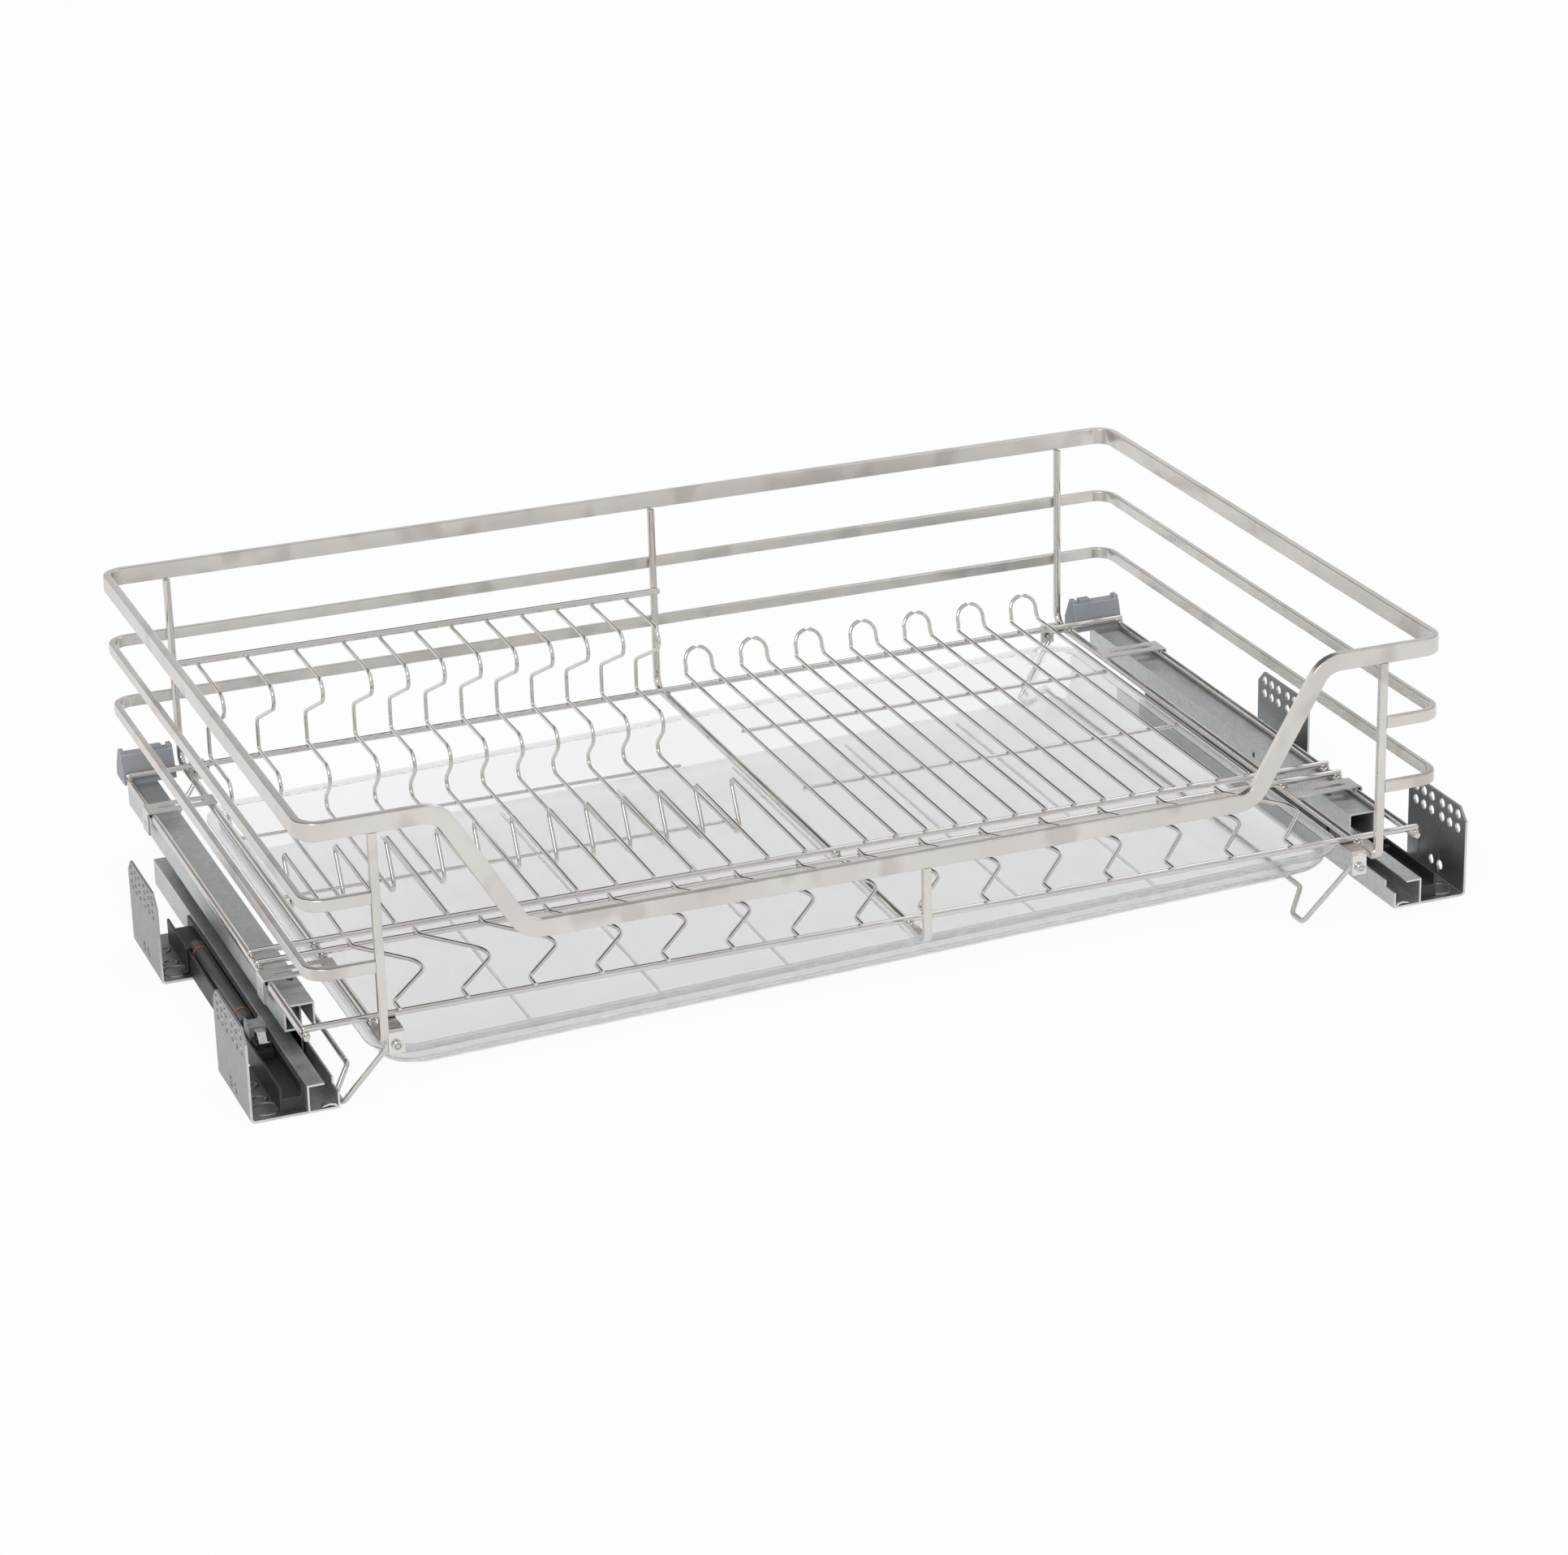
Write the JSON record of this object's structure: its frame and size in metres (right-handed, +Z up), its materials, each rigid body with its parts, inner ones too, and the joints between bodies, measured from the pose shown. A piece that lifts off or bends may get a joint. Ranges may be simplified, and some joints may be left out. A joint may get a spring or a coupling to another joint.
{
  "type": "pull-out dish rack",
  "caption": "Pull-out base-unit dish rack: a bent-bar basket with plate, bowl and cup wires, telescopic roller slides on screw-on brackets, soft-close dampers and a clear drip tray.",
  "frame": {"origin": "on the cabinet floor, midway between the outer faces of the brackets and midway in depth", "axes": "+X to the right seen from the front, +Y from the front to the back of the cabinet, +Z up; the basket opens along -Y"},
  "size_m": [0.764, 0.465, 0.181],
  "materials": {
    "satin_steel": "satin stainless",
    "bright_wire": "bright stainless wire",
    "galvanised_steel": "galvanised",
    "runner_steel": "oiled, dark",
    "roller_steel": "ground",
    "dark_coating": "dark satin coating",
    "black_plastic": "moulded",
    "cylinder_plastic": "smooth",
    "red_ring": "soft ring",
    "grey_plastic": "moulded",
    "clear_plastic": "clear, moulded"
  },
  "bodies": {
    "cabinet_side": {"cabinet_rail_left": "galvanised_steel", "front_bracket_left": "dark_coating", "rear_bracket_left": "dark_coating", "damper_tray_left": "black_plastic", "damper_cylinder_left": "cylinder_plastic", "damper_rings_left": "red_ring", "cabinet_rail_right": "galvanised_steel", "front_bracket_right": "dark_coating", "rear_bracket_right": "dark_coating", "damper_tray_right": "black_plastic", "damper_cylinder_right": "cylinder_plastic", "damper_rings_right": "red_ring"},
    "basket": {"top_rail": "satin_steel", "middle_rail": "satin_steel", "lower_rail": "satin_steel", "front_side_posts": "satin_steel", "front_middle_post": "satin_steel", "frame_wires": "bright_wire", "cross_wires": "bright_wire", "outer_side_wires": "bright_wire", "back_bar": "bright_wire", "plate_floor_wires": "bright_wire", "rack_tie_wires": "bright_wire", "plate_wires_wide": "bright_wire", "plate_wires_close": "bright_wire", "bowl_wires": "bright_wire", "rack_loops": "bright_wire", "drawer_rail_left": "galvanised_steel", "front_strap_left": "satin_steel", "rear_strap_left": "satin_steel", "rear_clip_left": "grey_plastic", "front_tray_clip_left": "satin_steel", "rear_tray_clip_left": "satin_steel", "drawer_rail_right": "galvanised_steel", "front_strap_right": "satin_steel", "rear_strap_right": "satin_steel", "rear_clip_right": "grey_plastic", "front_tray_clip_right": "satin_steel", "rear_tray_clip_right": "satin_steel"},
    "runner_left": {"middle_runner_left": "runner_steel"},
    "lower_roller_set_left": {"lower_cage_left": "black_plastic", "lower_rollers_left": "roller_steel"},
    "upper_roller_set_left": {"upper_cage_left": "black_plastic", "upper_rollers_left": "roller_steel"},
    "catch_left": {"soft_close_catch_left": "black_plastic"},
    "bail_left": {"hanger_left": "bright_wire", "hanger_collars_left": "grey_plastic"},
    "runner_right": {"middle_runner_right": "runner_steel"},
    "lower_roller_set_right": {"lower_cage_right": "black_plastic", "lower_rollers_right": "roller_steel"},
    "upper_roller_set_right": {"upper_cage_right": "black_plastic", "upper_rollers_right": "roller_steel"},
    "catch_right": {"soft_close_catch_right": "black_plastic"},
    "bail_right": {"hanger_right": "bright_wire", "hanger_collars_right": "grey_plastic"},
    "tray": {"drip_tray": "clear_plastic"}
  },
  "joints": [
    {"name": "basket_slide", "type": "slide", "parent": "cabinet_side", "child": "basket", "axis": [0, -1, 0], "range_m": [0, 0.34]},
    {"name": "runner_left_slide", "type": "slide", "parent": "cabinet_side", "child": "runner_left", "axis": [0, -1, 0], "range_m": [0, 0.17]},
    {"name": "lower_roller_set_left_slide", "type": "slide", "parent": "cabinet_side", "child": "lower_roller_set_left", "axis": [0, -1, 0], "range_m": [0, 0.085]},
    {"name": "upper_roller_set_left_slide", "type": "slide", "parent": "cabinet_side", "child": "upper_roller_set_left", "axis": [0, -1, 0], "range_m": [0, 0.255]},
    {"name": "runner_right_slide", "type": "slide", "parent": "cabinet_side", "child": "runner_right", "axis": [0, -1, 0], "range_m": [0, 0.17]},
    {"name": "lower_roller_set_right_slide", "type": "slide", "parent": "cabinet_side", "child": "lower_roller_set_right", "axis": [0, -1, 0], "range_m": [0, 0.085]},
    {"name": "upper_roller_set_right_slide", "type": "slide", "parent": "cabinet_side", "child": "upper_roller_set_right", "axis": [0, -1, 0], "range_m": [0, 0.255]},
    {"name": "catch_left_slide", "type": "slide", "parent": "cabinet_side", "child": "catch_left", "axis": [0, -1, 0], "range_m": [0, 0.045], "stiffness_N_per_m": 80},
    {"name": "catch_right_slide", "type": "slide", "parent": "cabinet_side", "child": "catch_right", "axis": [0, -1, 0], "range_m": [0, 0.045], "stiffness_N_per_m": 80},
    {"name": "bail_left_swing", "type": "hinge", "parent": "basket", "child": "bail_left", "pos_m": [-0.3, 0, 0.0392], "axis": [0, 1, 0], "range_deg": [-45, 0]},
    {"name": "bail_right_swing", "type": "hinge", "parent": "basket", "child": "bail_right", "pos_m": [0.3, 0, 0.0392], "axis": [0, 1, 0], "range_deg": [-75.5, 0]},
    {"name": "tray_slide", "type": "slide", "parent": "basket", "child": "tray", "axis": [0, 1, 0], "range_m": [-0.01, 0.01]}
  ],
  "couplings": [
    {"joint": "runner_left_slide", "follows": "basket_slide", "ratio": 0.5},
    {"joint": "lower_roller_set_left_slide", "follows": "basket_slide", "ratio": 0.25},
    {"joint": "upper_roller_set_left_slide", "follows": "basket_slide", "ratio": 0.75},
    {"joint": "runner_right_slide", "follows": "basket_slide", "ratio": 0.5},
    {"joint": "lower_roller_set_right_slide", "follows": "basket_slide", "ratio": 0.25},
    {"joint": "upper_roller_set_right_slide", "follows": "basket_slide", "ratio": 0.75}
  ]
}
